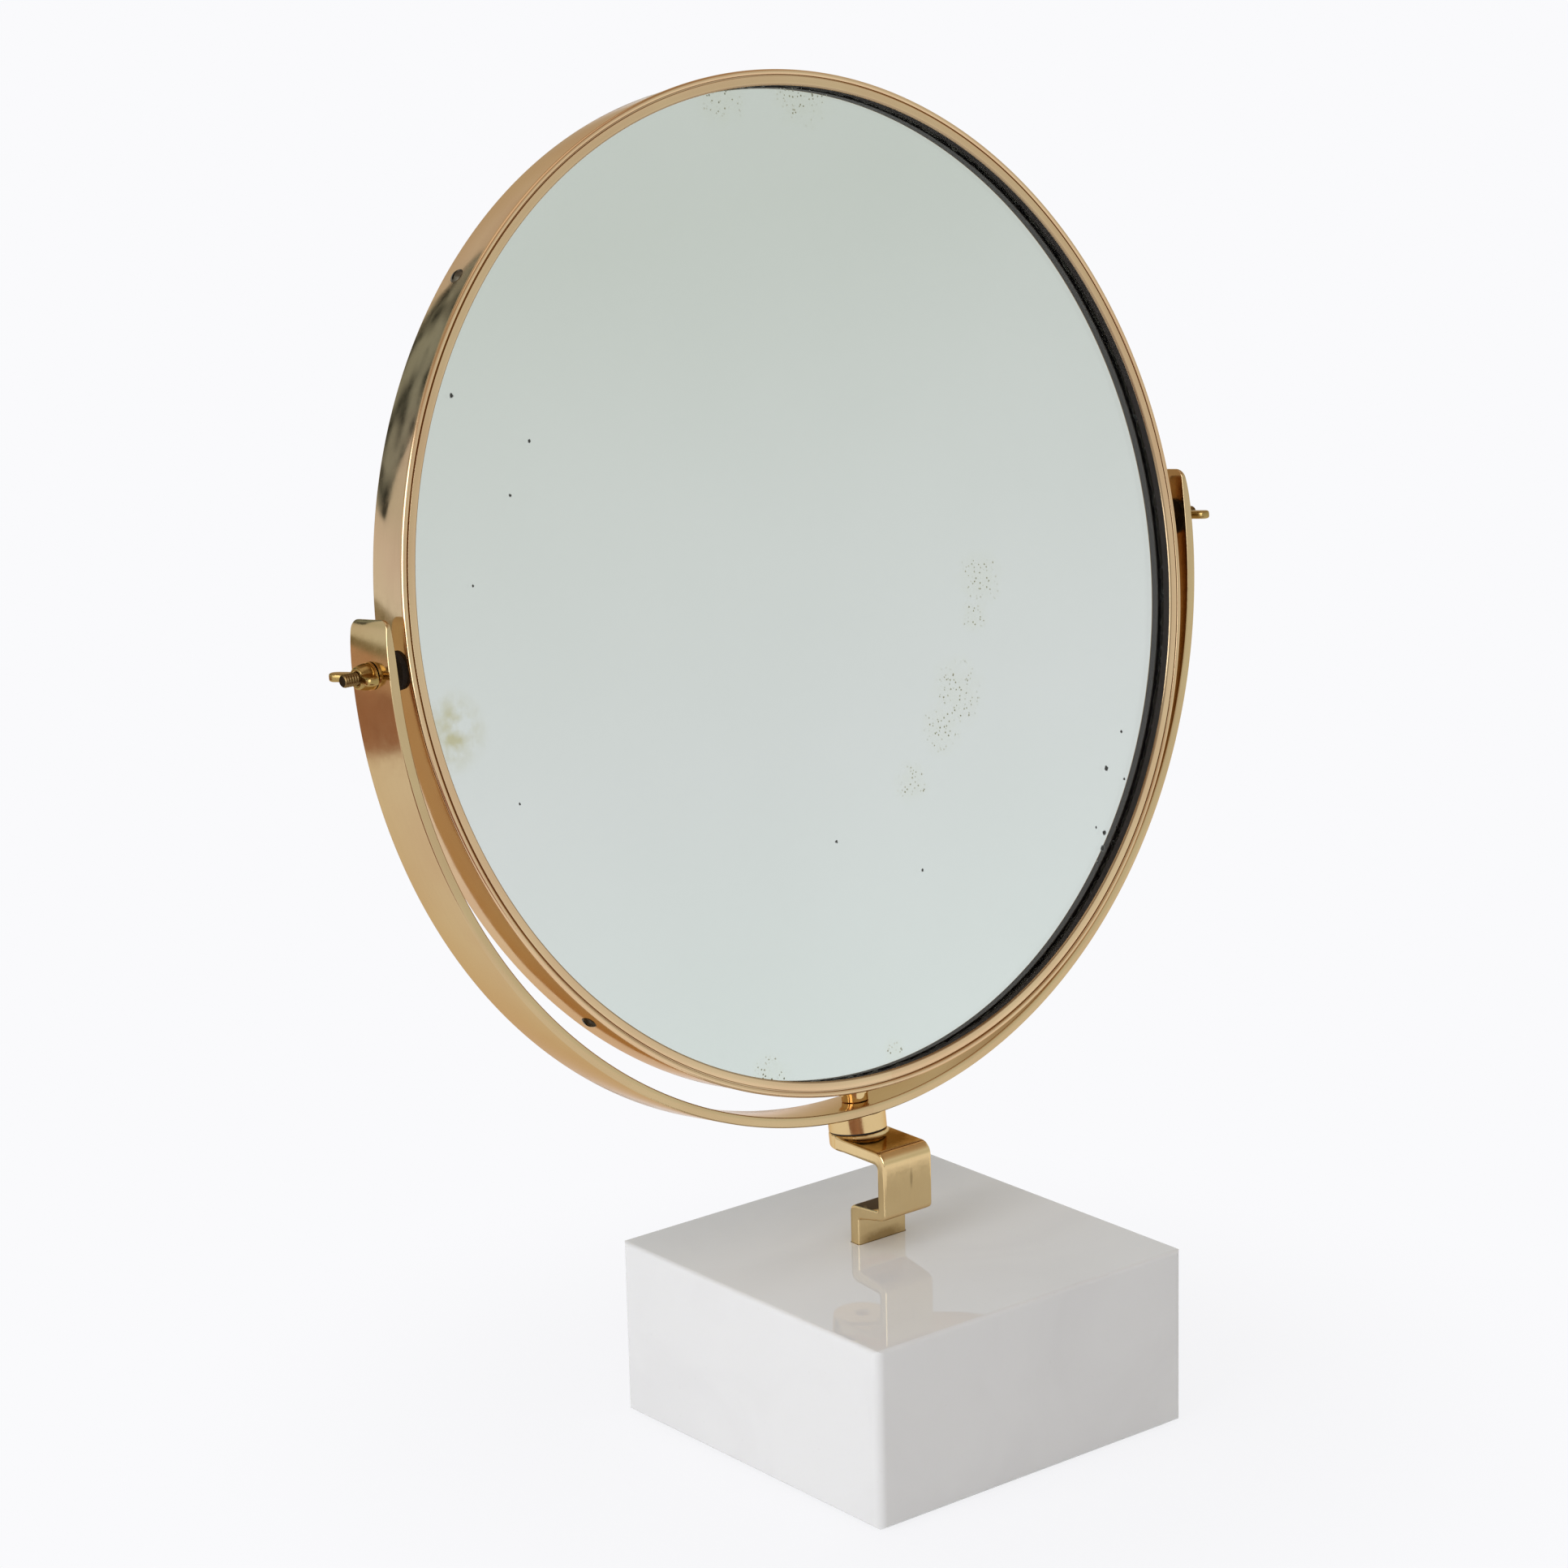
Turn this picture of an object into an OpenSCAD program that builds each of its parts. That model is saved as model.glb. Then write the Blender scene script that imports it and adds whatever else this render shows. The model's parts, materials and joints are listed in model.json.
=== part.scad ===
// Table mirror: a round glass in a brass frame that tips in a brass hoop on a marble block.
// Origin: middle of the underside. +X to the right of a person facing the glass, -Y towards them.
// The parts are drawn as the object stands: hoop leaning back and turned, mirror tipped up a little.

/* [Base] */
// Side of the square marble block
base_side = 152.4; // [130:0.2:190]
// Height of the marble block without its felt
marble_h = 69.4; // [56:0.1:100]
// Radius of the block's four upright corners
base_corner_r = 3.5; // [2:0.25:8]
// Radius of the block's polished top and bottom edges
base_edge_r = 1.5; // [0.75:0.25:3]
// Thickness of the felt under the block
felt_t = 1.2; // [0.8:0.1:3]

/* [Neck] */
// Width of the cast neck from left to right
neck_w = 23.4; // [18:0.1:28]
// Thickness of the neck's upright plate and tang
neck_t = 5; // [4.4:0.1:6]
// How far the tang's front face stands behind the middle of the block
tang_y = 10.2; // [4:0.2:16]
// How far the neck's front plate stands before the tang's front face
neck_reach = 15.7; // [12:0.1:24]
// Height of the opening between the neck's two legs
neck_gap = 16.1; // [14:0.1:30]
// How far the swivel axis stands behind the middle of the block
swivel_y = 23.8; // [20:0.1:30]
// Backward lean of the swivel axis, in degrees
lean_back = 7.1; // [0:0.1:9]

/* [Hoop] */
// Gap between the mirror's band and the inside of the half-round hoop
hoop_gap = 6.8; // [5.6:0.1:12]
// Thickness of the hoop's flat bar
hoop_t = 4; // [3:0.25:4.5]
// Width of the hoop's flat bar
hoop_w = 22.8; // [20:0.2:32]
// How far the hoop's ends stand above the pivots
hoop_end = 19.5; // [12:0.5:30]
// Turn of the hoop on its neck as it stands, in degrees
rest_swivel = 2.6; // [-20:0.1:20]
// How far the bent bar sits askew in its own plane, in degrees; the right pivot is the lower one
hoop_skew = 0.3; // [-1:0.1:1]

/* [Mirror] */
// Outer radius of the brass band round the glass
band_r = 190.6; // [160:0.1:220]
// Wall of the band
band_t = 1.5; // [1:0.1:2]
// How far the mirror's middle stands above the line of the pivots
mirror_rise = 1.5; // [0:0.1:3]
// Width of the flat lip between the bead's groove and the glass
lip_w = 3.6; // [2.35:0.05:4.15]
// Thickness of the glass
glass_t = 3; // [2:0.5:4]
// Backward tip of the mirror in the hoop as it stands, in degrees
rest_tilt = 3.9; // [-30:0.1:30]

/* [Fasteners] */
// Diameter of the pivot studs
stud_d = 4.8; // [4:0.2:5.6]
// Free length of a stud outside the hoop
stud_out = 12.4; // [10:0.2:14]
// Span of a wing nut over its wings
wing_span = 25.8; // [22:0.2:30]
// Diameter of the swivel screw's head
swivel_head_d = 11.5; // [10:0.25:13]

/* [Hidden] */
$fn = 72;

// Overlong reach of a cutting solid
cut = 400;
// Gap left between faces of pieces that turn or slide on each other
face_gap = 0.3;
// Radial running clearance of a pin in its bore
run_gap = 0.06;
// Loose clearance round a fixed tang, stud or screw
loose_gap = 0.4;
// Play between two flat faces that turn on each other
turn_play = 0.05;

// Base and what is in it
base_top = felt_t + marble_h;
felt_inset = 3;
tang_depth = 18;
spigot_d = min(4.4, neck_t - 0.4);
bore_d = spigot_d + 2 * loose_gap;
counterbore_d = 34;
counterbore_h = 22;
washer_d = 28;
washer_t = 2;
spring_washer_t = 1.1;
nut_h = 3.6;
nut_flats = 8;
spigot_end = counterbore_h - washer_t - spring_washer_t - nut_h - 3;

// Neck heights above the top of the block
leg_t = neck_t + 0.3;
leg_z = 13.8;
leg_slope = 3.2;
plate_t = neck_t - 0.8;
top_leg_z = leg_z + leg_t + neck_gap;
plate_y = tang_y - neck_reach;
pad_d = neck_w - 0.8;
pad_t = 5.5;
pad_z = top_leg_z + pad_t;
flare_r = 2.4;

// Swivel, measured up the leaning axis from the top of the pad
friction_t = 0.6;
collar_z = friction_t + turn_play;
collar_d = pad_d;
collar_h = 6.7;
shoulder_r = 3;
swivel_thread_r = 2.5;
hoop_r = band_r + hoop_gap + hoop_t;
hoop_bottom = collar_z + collar_h;
hoop_drop = 1;
pivot_h = hoop_bottom + hoop_r + hoop_drop;
hoop_in = hoop_r - hoop_t;
head_washer_z = hoop_bottom + hoop_t + face_gap + 0.1;
head_washer_t = 3;
head_z = head_washer_z + head_washer_t;
head_t = 2;

// Mirror depths, measured back from the pivot line
lip_front = -11;
lip_t = 0.8;
ring_back = -9;
band_back = 8.9;
gasket_t = 3.2;
glass_y = lip_front + lip_t + gasket_t;
sheet_t = 0.8;
board_y = glass_y + glass_t + sheet_t;
board_t = 9;
cover_t = 1;
band_in = band_r - band_t;
groove_w = 0.6;
groove_depth = 0.8;
bead_rad = 1.1;
bead_r = band_r + 0.45;
bead_y = lip_front + 0.8;
groove_r = bead_r - groove_w - 0.85;
lip_r = groove_r - lip_w;
glass_r = band_in - 0.7;
board_r = band_in - 0.4;
screw_y = 1;
screw_angles = [42.7, 132.7, 223.5, 312.7];
screw_r = 1.6;

// Pivots, measured out from the middle along the pivot line
hoop_side_in = sqrt(hoop_in ^ 2 - hoop_drop ^ 2);
hoop_side_out = sqrt(hoop_r ^ 2 - hoop_drop ^ 2);
rubber_d = 14;
rubber_t = 2;
spacer_d = 7;
spacer_x = hoop_side_in - face_gap;
stud_head_d = 7.4;
stud_head_t = 2.2;
sheet_r = band_in - stud_head_t - 0.6;
clamp_washer_d = 10;
clamp_washer_t = 1;
clamp_x = hoop_side_out + face_gap;
nut_x = clamp_x + clamp_washer_t;
nut_bore_r = stud_d / 2 + run_gap;
hub_h = 4.8;
hub_base_r = 4.5;
hub_top_r = 3.7;
wing_t = 2.6;
wing_r = 2.2;
wing_turn = 6;

// Frames in which the moving pieces are drawn
module on_swivel() {
    translate([0, swivel_y, base_top + pad_z]) rotate([-lean_back, 0, 0]) children();
}

module on_hoop() {
    on_swivel() rotate([0, 0, rest_swivel]) children();
}

module on_pivot() {
    on_hoop() translate([0, 0, pivot_h]) rotate([0, hoop_skew, 0]) children();
}

module on_mirror() {
    on_pivot() rotate([-rest_tilt, 0, 0]) children();
}

module on_glass() {
    on_mirror() translate([0, 0, mirror_rise]) children();
}

// A cylinder that lies along +X from x0 to x1
module rod_x(r, x0, x1) {
    translate([x0, 0, 0]) rotate([0, 90, 0]) cylinder(r = r, h = x1 - x0);
}

// A ring that faces front to back, from y0 to y1
module ring_y(r_out, r_in, y0, y1) {
    translate([0, y1, 0]) rotate([90, 0, 0])
        difference() {
            cylinder(r = r_out, h = y1 - y0, $fn = 180);
            if (r_in > 0) translate([0, 0, -1]) cylinder(r = r_in, h = y1 - y0 + 2, $fn = 180);
        }
}

// A plain washer standing on z = 0
module washer(r_out, r_in, t) {
    difference() {
        cylinder(r = r_out, h = t);
        translate([0, 0, -1]) cylinder(r = r_in, h = t + 2);
    }
}

// A rectangle with round corners, centred
module soft_rect(w, h, r) {
    square([w - 2 * r, h], center = true);
    square([w, h - 2 * r], center = true);
    for (x = [-1, 1], y = [-1, 1])
        translate([x * (w / 2 - r), y * (h / 2 - r)]) circle(r = r);
}

// Cuts the corner of an outline at p round; s points into the material
module round_off(p, s, r) {
    translate(p)
        difference() {
            translate([s[0] > 0 ? -1 : -r, s[1] > 0 ? -1 : -r]) square(r + 1);
            translate([s[0] * r, s[1] * r]) circle(r = r);
        }
}

// Fills the inner corner of an outline at p; s points out of the material
module fillet(p, s, r) {
    translate(p)
        difference() {
            translate([s[0] > 0 ? -0.1 : -r, s[1] > 0 ? -0.1 : -r]) square(r + 0.1);
            translate([s[0] * r, s[1] * r]) circle(r = r);
        }
}

// Base

module rounded_block() {
    mid = marble_h / 2;
    translate([0, 0, felt_t])
        intersection() {
            linear_extrude(marble_h) soft_rect(base_side, base_side, base_corner_r);
            translate([0, base_side, mid]) rotate([90, 0, 0])
                linear_extrude(2 * base_side) soft_rect(base_side, marble_h, base_edge_r);
            translate([-base_side, 0, mid]) rotate([90, 0, 90])
                linear_extrude(2 * base_side) soft_rect(base_side, marble_h, base_edge_r);
        }
}

module tang_slot() {
    slot_w = neck_w + 2 * loose_gap;
    slot_t = neck_t + 2 * loose_gap;
    translate([0, tang_y + neck_t / 2, base_top - tang_depth])
        linear_extrude(tang_depth + 1) soft_rect(slot_w, slot_t, 1);
}

module marble_base() {
    color("whitesmoke")
        difference() {
            rounded_block();
            tang_slot();
            translate([0, tang_y + neck_t / 2, 0]) cylinder(d = bore_d, h = base_top);
            translate([0, tang_y + neck_t / 2, 0]) cylinder(d = counterbore_d, h = felt_t + counterbore_h);
        }
}

module felt_pad() {
    side = base_side - 2 * felt_inset;
    color("darkolivegreen")
        linear_extrude(felt_t) soft_rect(side, side, base_corner_r);
}

// Neck

module neck_outline() {
    tang_back = tang_y + neck_t;
    tang_top = leg_z + 1.6;
    arm_top = top_leg_z + neck_t;
    difference() {
        union() {
            translate([tang_y, -tang_depth]) square([neck_t, tang_depth + tang_top]);
            polygon([
                [plate_y, leg_z], [tang_y, leg_z - leg_slope], [tang_back, leg_z - leg_slope],
                [tang_back, tang_top], [plate_y, leg_z + 3.4]
            ]);
            translate([plate_y, leg_z]) square([plate_t, arm_top - leg_z]);
            translate([plate_y, top_leg_z]) square([swivel_y - plate_y, arm_top - top_leg_z]);
            fillet([plate_y + plate_t, top_leg_z], [1, -1], 2);
        }
        round_off([tang_back, tang_top], [-1, -1], 2.5);
        round_off([plate_y, leg_z], [1, 1], 2);
        round_off([plate_y, arm_top], [1, -1], 5);
    }
}

module neck_pad() {
    intersection() {
        on_swivel() translate([0, 0, -2 * pad_t]) cylinder(d = pad_d, h = 2 * pad_t);
        translate([-cut, -cut, base_top + top_leg_z - 0.4]) cube(2 * cut);
    }
}

// The hollow sweep from the top leg up to the front of the pad
module pad_flare() {
    intersection() {
        on_swivel() rotate_extrude() fillet([pad_d / 2, -flare_r], [1, 1], flare_r);
        translate([-neck_w / 2, swivel_y - cut, base_top + top_leg_z]) cube([neck_w, cut, cut]);
    }
}

module neck() {
    color("goldenrod")
        difference() {
            union() {
                translate([-neck_w / 2, 0, base_top]) rotate([90, 0, 90])
                    linear_extrude(neck_w) neck_outline();
                neck_pad();
                pad_flare();
                translate([0, tang_y + neck_t / 2, felt_t + spigot_end])
                    cylinder(d = spigot_d, h = marble_h - tang_depth - spigot_end + 1);
            }
            on_swivel() translate([-cut, -cut, 0]) cube(2 * cut);
            on_swivel() translate([0, 0, -2 * pad_t]) cylinder(r = swivel_thread_r, h = 3 * pad_t);
        }
}

module at_spigot(z) {
    translate([0, tang_y + neck_t / 2, felt_t + z]) children();
}

module base_washer() {
    color("silver")
        at_spigot(counterbore_h - washer_t) washer(washer_d / 2, spigot_d / 2 + 0.2, washer_t);
}

module base_spring_washer() {
    z = counterbore_h - washer_t - spring_washer_t;
    color("silver")
        at_spigot(z)
            difference() {
                washer(4, spigot_d / 2 + 0.1, spring_washer_t);
                rotate([0, 0, 30]) translate([0, -0.4, -1]) cube([10, 0.8, spring_washer_t + 2]);
            }
}

module base_nut() {
    z = counterbore_h - washer_t - spring_washer_t - nut_h;
    color("silver")
        at_spigot(z)
            difference() {
                cylinder(d = nut_flats / cos(30), h = nut_h, $fn = 6);
                translate([0, 0, -1]) cylinder(d = spigot_d, h = nut_h + 2);
            }
}

// Swivel

module swivel_screw() {
    color("gold")
        on_swivel()
            difference() {
                union() {
                    translate([0, 0, 1 - pad_t]) cylinder(r = swivel_thread_r, h = pad_t);
                    cylinder(r = shoulder_r, h = head_z + 1);
                    translate([0, 0, head_z]) rotate_extrude() swivel_head_outline();
                }
                translate([-cut, -0.7, head_z + head_t - 1.1]) cube([2 * cut, 1.4, 10]);
            }
}

module swivel_head_outline() {
    r = swivel_head_d / 2;
    difference() {
        square([r, head_t]);
        round_off([r, head_t], [-1, -1], 0.8);
    }
}

module swivel_head_washer() {
    color("gold")
        on_swivel() translate([0, 0, head_washer_z])
            washer(swivel_head_d / 2 - 0.6, shoulder_r + run_gap, head_washer_t);
}

module swivel_friction_washer() {
    color("black")
        on_swivel() washer(collar_d / 2 - 0.4, shoulder_r + run_gap, friction_t);
}

module swivel_collar() {
    color("gold")
        difference() {
            on_hoop() translate([0, 0, collar_z]) cylinder(d = collar_d, h = collar_h + 2);
            on_hoop() translate([0, 0, collar_z - 1])
                cylinder(r = shoulder_r + run_gap, h = collar_h + 4);
            on_pivot() translate([0, 0, -hoop_drop]) ring_y(hoop_r, 0, -hoop_w, hoop_w);
        }
}

// Hoop

module hoop_side_outline() {
    bottom = hoop_r + hoop_drop + 5;
    top = hoop_end;
    translate([0, (top - bottom) / 2]) soft_rect(hoop_w, top + bottom, 3.4);
}

module hoop() {
    color("goldenrod")
        difference() {
            intersection() {
                on_pivot() translate([0, 0, -hoop_drop]) rotate([90, 0, 0])
                    rotate_extrude($fn = 180)
                        translate([hoop_r - hoop_t / 2, 0]) soft_rect(hoop_t, hoop_w, 0.5);
                on_pivot() translate([-hoop_r - 5, 0, 0]) rotate([90, 0, 90])
                    linear_extrude(2 * hoop_r + 10) hoop_side_outline();
            }
            on_pivot() rod_x(nut_bore_r, -cut, cut);
            on_hoop() cylinder(r = shoulder_r + run_gap, h = hoop_bottom + 2 * hoop_t);
        }
}

// Mirror

module frame_band() {
    color("goldenrod")
        on_glass()
            difference() {
                ring_y(band_r, band_in, ring_back, band_back);
                translate([0, 0, -mirror_rise]) rod_x(stud_d / 2 + 0.05, -cut, cut);
                for (a = screw_angles)
                    rotate([0, a, 0]) translate([0, screw_y, 0]) rod_x(screw_r, 0, cut);
            }
}

module bezel_outline() {
    step_r = band_in - 0.8;
    difference() {
        union() {
            translate([bead_r, bead_y]) circle(r = bead_rad);
            translate([lip_r, lip_front]) square([bead_r - lip_r, lip_t]);
            translate([step_r, lip_front]) square([bead_r - step_r, ring_back - lip_front]);
        }
        translate([0, ring_back]) square([cut, 10]);
        translate([0, lip_front + lip_t]) square([step_r, 10]);
        translate([groove_r, lip_front - 2]) square([groove_w, 2 + groove_depth]);
    }
}

module bezel_ring() {
    color("burlywood")
        on_glass() rotate([-90, 0, 0]) rotate_extrude($fn = 180) bezel_outline();
}

module glass_gasket() {
    color("black")
        on_glass() ring_y(band_in - 0.9, lip_r + 0.3, lip_front + lip_t + turn_play, glass_y);
}

module mirror_glass() {
    color("lightcyan") on_glass() ring_y(glass_r, 0, glass_y, glass_y + glass_t);
}

module backing_sheet() {
    color("tan") on_glass() ring_y(sheet_r, 0, glass_y + glass_t, board_y);
}

module backing_board() {
    color("peru")
        on_glass()
            difference() {
                ring_y(board_r, 0, board_y, board_y + board_t);
                for (s = [-1, 1])
                    translate([s * board_r, 0, -mirror_rise])
                        cube([2 * (stud_head_t + 2), cut, stud_head_d + 2], center = true);
                for (a = screw_angles)
                    rotate([0, a, 0]) translate([0, screw_y, 0]) rod_x(screw_r, board_r - 15, cut);
            }
}

module back_cover() {
    color("dimgray")
        on_glass() ring_y(board_r, 0, board_y + board_t, board_y + board_t + cover_t);
}

// One slotted round-head wood screw that points in to the middle from the band
module board_screw() {
    head_r = 2.9;
    translate([0, screw_y, 0])
        difference() {
            union() {
                rod_x(screw_r, board_r - 14, band_r + 0.5);
                translate([band_r, 0, 0]) rotate([0, 90, 0])
                    rotate_extrude()
                        intersection() {
                            translate([0, -2.7]) circle(r = 4);
                            square([head_r, 3]);
                        }
            }
            translate([band_r + 0.6, -0.5, -5]) cube([2, 1, 10]);
        }
}

module board_screws() {
    color("dimgray")
        on_glass() for (a = screw_angles) rotate([0, a, 0]) board_screw();
}

// Pivots

module pivot_stud() {
    stud_r = stud_d / 2;
    tip_x = hoop_side_out + stud_out;
    rod_x(stud_r, band_in - 1, tip_x - 0.6);
    rod_x(stud_r - 0.5, tip_x - 1, tip_x);
    translate([band_in - stud_head_t - 0.1, 0, 0]) rod_x(stud_head_d / 2, 0, stud_head_t);
}

module spacer() {
    translate([band_r + rubber_t, 0, 0]) rotate([0, 90, 0])
        washer(spacer_d / 2, stud_d / 2, spacer_x - band_r - rubber_t);
}

// A rubber washer pressed to the curve of the band
module rubber_washer() {
    difference() {
        rod_x(rubber_d / 2, band_r - 0.3, band_r + rubber_t);
        rod_x(stud_d / 2, 0, cut);
        translate([0, 0, mirror_rise]) ring_y(band_r, 0, -10, 10);
    }
}

module left_pivot_stud() {
    color("gold") on_mirror() mirror([1, 0, 0]) pivot_stud();
}

module right_pivot_stud() {
    color("gold") on_mirror() pivot_stud();
}

module left_spacer() {
    color("gold") on_mirror() mirror([1, 0, 0]) spacer();
}

module right_spacer() {
    color("gold") on_mirror() spacer();
}

module left_rubber_washer() {
    color("black") on_mirror() mirror([1, 0, 0]) rubber_washer();
}

module right_rubber_washer() {
    color("black") on_mirror() rubber_washer();
}

module clamp_washer() {
    translate([clamp_x, 0, 0]) rotate([0, 90, 0])
        washer(clamp_washer_d / 2, nut_bore_r, clamp_washer_t);
}

module left_clamp_washer() {
    color("gold") on_mirror() mirror([1, 0, 0]) clamp_washer();
}

module right_clamp_washer() {
    color("gold") on_mirror() clamp_washer();
}

// Side outline of a wing: a bar with round ends that rises away from the hub
module wing_outline() {
    tip = [wing_span / 2 - wing_r, 5.8];
    root = [2.6, 2.6];
    run = tip - root;
    for (p = [root, tip]) translate(p) circle(r = wing_r);
    translate(root) rotate(atan2(run[1], run[0])) translate([0, -wing_r])
        square([norm(run), 2 * wing_r]);
}

// A wing nut standing on z = 0 with its wings along X
module wing_nut() {
    difference() {
        union() {
            rotate_extrude()
                polygon([[0, 0], [hub_base_r, 0], [hub_base_r, 1.2], [hub_top_r, hub_h], [0, hub_h]]);
            for (s = [-1, 1])
                rotate([0, 0, s < 0 ? 180 : 0]) rotate([90, 0, 0])
                    translate([0, 0, -wing_t / 2]) linear_extrude(wing_t) wing_outline();
        }
        translate([0, 0, -1]) cylinder(r = nut_bore_r, h = hub_h + 10);
    }
}

module placed_wing_nut() {
    translate([nut_x, 0, 0]) rotate([wing_turn, 0, 0]) rotate([0, 90, 0]) rotate([0, 0, 90]) wing_nut();
}

module left_wing_nut() {
    color("gold") on_mirror() mirror([1, 0, 0]) placed_wing_nut();
}

module right_wing_nut() {
    color("gold") on_mirror() placed_wing_nut();
}

marble_base();
felt_pad();
neck();
base_washer();
base_spring_washer();
base_nut();
swivel_screw();
swivel_head_washer();
swivel_friction_washer();
hoop();
swivel_collar();
frame_band();
bezel_ring();
glass_gasket();
mirror_glass();
backing_sheet();
backing_board();
back_cover();
board_screws();
left_pivot_stud();
right_pivot_stud();
left_spacer();
right_spacer();
left_rubber_washer();
right_rubber_washer();
left_clamp_washer();
right_clamp_washer();
left_wing_nut();
right_wing_nut();
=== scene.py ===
# Dressing and portrait of the brass table mirror on its marble block.
# Metres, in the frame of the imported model: +Z up, and the glass faces -Y.
import bmesh
import bpy
import json
import math
from mathutils import Matrix, Vector


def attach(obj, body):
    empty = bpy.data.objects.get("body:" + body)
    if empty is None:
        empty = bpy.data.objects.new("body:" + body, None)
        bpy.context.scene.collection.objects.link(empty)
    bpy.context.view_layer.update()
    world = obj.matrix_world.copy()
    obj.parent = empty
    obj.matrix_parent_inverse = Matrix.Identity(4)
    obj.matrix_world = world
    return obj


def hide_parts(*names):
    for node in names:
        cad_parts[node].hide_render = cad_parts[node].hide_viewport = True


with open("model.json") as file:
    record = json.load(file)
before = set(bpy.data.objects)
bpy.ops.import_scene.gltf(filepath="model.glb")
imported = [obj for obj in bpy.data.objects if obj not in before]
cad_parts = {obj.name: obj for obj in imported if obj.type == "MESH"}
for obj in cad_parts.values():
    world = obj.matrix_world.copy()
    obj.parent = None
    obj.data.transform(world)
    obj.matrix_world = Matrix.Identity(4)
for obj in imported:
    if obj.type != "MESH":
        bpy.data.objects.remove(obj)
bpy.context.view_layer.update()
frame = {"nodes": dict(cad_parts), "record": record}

MM = 0.001
nodes = frame["nodes"]


# Where things stand

def turn(degrees, axis):
    return Matrix.Rotation(math.radians(degrees), 4, axis)


def shift(x, y, z):
    return Matrix.Translation((x * MM, y * MM, z * MM))


# The swivel on the neck, the pivot line between the hoop's ends, the tipped mirror and its round's middle
SWIVEL = shift(0, 23.8, 111.3) @ turn(-7.1, "X")
HOOP = SWIVEL @ turn(2.6, "Z") @ shift(0, 0, 209.75) @ turn(0.3, "Y")
MIRROR = HOOP @ turn(-3.9, "X")
GLASS = MIRROR @ shift(0, 0, 1.5)

HOOP_RADIUS = 201.4 * MM
BAND_RADIUS = 190.6 * MM
SILVER_RADIUS = 188.1 * MM
# Just inside the glass, a hair in front of its back face
SILVER_DEPTH = -4.03 * MM
STUD_END = 213.9 * MM


# Colours and shader building

def linear(hex_code):
    """An sRGB hex colour as the linear colour that a shader takes."""
    parts = [int(hex_code[i:i + 2], 16) / 255 for i in (1, 3, 5)]
    return [p / 12.92 if p <= 0.04045 else ((p + 0.055) / 1.055) ** 2.4 for p in parts] + [1.0]


def cells_of(size):
    """A pattern's scale, from the real size of one of its cells in millimetres."""
    return 1 / (size * MM)


def add(tree, kind, settings=None, gives=None, stops=(), **sockets):
    """Adds a shader node with its settings and links. Returns it, or the output that gives names.
    A socket is named with _ for a space, or as in0, in1 by its place. Its value is a number, a colour
    or another node's output. stops are a colour ramp's places, each with its grey or colour."""
    node = tree.nodes.new("ShaderNode" + kind)
    for name, value in (settings or {}).items():
        setattr(node, name, value)
    for name, value in sockets.items():
        numbered = name.startswith("in") and name[2:].isdigit()
        socket = node.inputs[int(name[2:]) if numbered else name.replace("_", " ")]
        if isinstance(value, bpy.types.NodeSocket):
            tree.links.new(value, socket)
        else:
            socket.default_value = value
    if stops:
        bar = node.color_ramp.elements
        while len(bar) < len(stops):
            bar.new(0.5)
        for element, (place, colour) in zip(bar, stops):
            element.position = place
            element.color = (colour, colour, colour, 1) if isinstance(colour, (int, float)) else colour
    return node if gives is None else node.outputs[gives]


# Settings that many nodes share. A Mix of colours takes its share as in0 and the colours as in6 and in7.
COLOURS = {"data_type": "RGBA"}
PRODUCT = {"operation": "MULTIPLY"}
PRODUCT_AND_SUM = {"operation": "MULTIPLY_ADD"}
LARGER = {"operation": "MAXIMUM"}
LENGTH = {"operation": "LENGTH"}
EASED = {"interpolation_type": "SMOOTHSTEP"}
INTO_FRAME = {"vector_type": "TEXTURE"}


def new_finish(name):
    """An empty material and its tree."""
    material = bpy.data.materials.new(name)
    material.use_nodes = True
    material.node_tree.nodes.clear()
    return material, material.node_tree


def places(tree, where=None):
    """The point on the piece, in the frame it is given, so that a pattern moves with the piece."""
    point = add(tree, "TexCoord", gives="Object")
    if where is None:
        return point
    return add(tree, "Mapping", INTO_FRAME, 0, Vector=point, Location=where.to_translation(),
               Rotation=where.to_euler())


def round_the_ring(tree, where, radius):
    """Coordinates that run along a ring standing upright in that frame: along it, depth, outwards."""
    parts = add(tree, "SeparateXYZ", in0=places(tree, where)).outputs
    angle = add(tree, "Math", {"operation": "ARCTAN2"}, 0, in0=parts[0], in1=parts[2])
    along = add(tree, "Math", PRODUCT, 0, in0=angle, in1=radius)
    flat = add(tree, "CombineXYZ", gives=0, in0=parts[0], in1=0.0, in2=parts[2])
    outwards = add(tree, "VectorMath", LENGTH, "Value", in0=flat)
    return add(tree, "CombineXYZ", gives=0, in0=along, in1=parts[1], in2=outwards)


def along_hoop(tree):
    return round_the_ring(tree, HOOP, HOOP_RADIUS)


def along_band(tree):
    return round_the_ring(tree, GLASS, BAND_RADIUS)


# Finishes

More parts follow.
